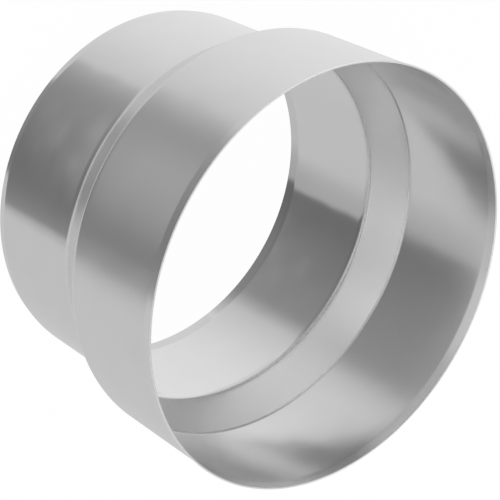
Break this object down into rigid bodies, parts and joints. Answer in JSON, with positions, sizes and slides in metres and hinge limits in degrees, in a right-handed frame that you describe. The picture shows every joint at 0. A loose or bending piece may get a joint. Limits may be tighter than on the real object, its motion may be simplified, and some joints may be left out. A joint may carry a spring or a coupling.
{
  "type": "duct reducer",
  "caption": "Round sheet-metal duct reducer: a wide socket collar steps down through a short cone to a narrower spigot collar, joining ducts of neighbouring sizes.",
  "frame": {"origin": "centre of the spigot's rim, on the surface that the reducer stands on", "axes": "+Z along the duct's axis, from the spigot's rim up to the socket's mouth"},
  "size_m": [0.1256, 0.1256, 0.086],
  "materials": {
    "satin_steel": "smooth satin sheet, with blurred reflections"
  },
  "bodies": {
    "root": {"reducer_body": "satin_steel"}
  },
  "joints": []
}
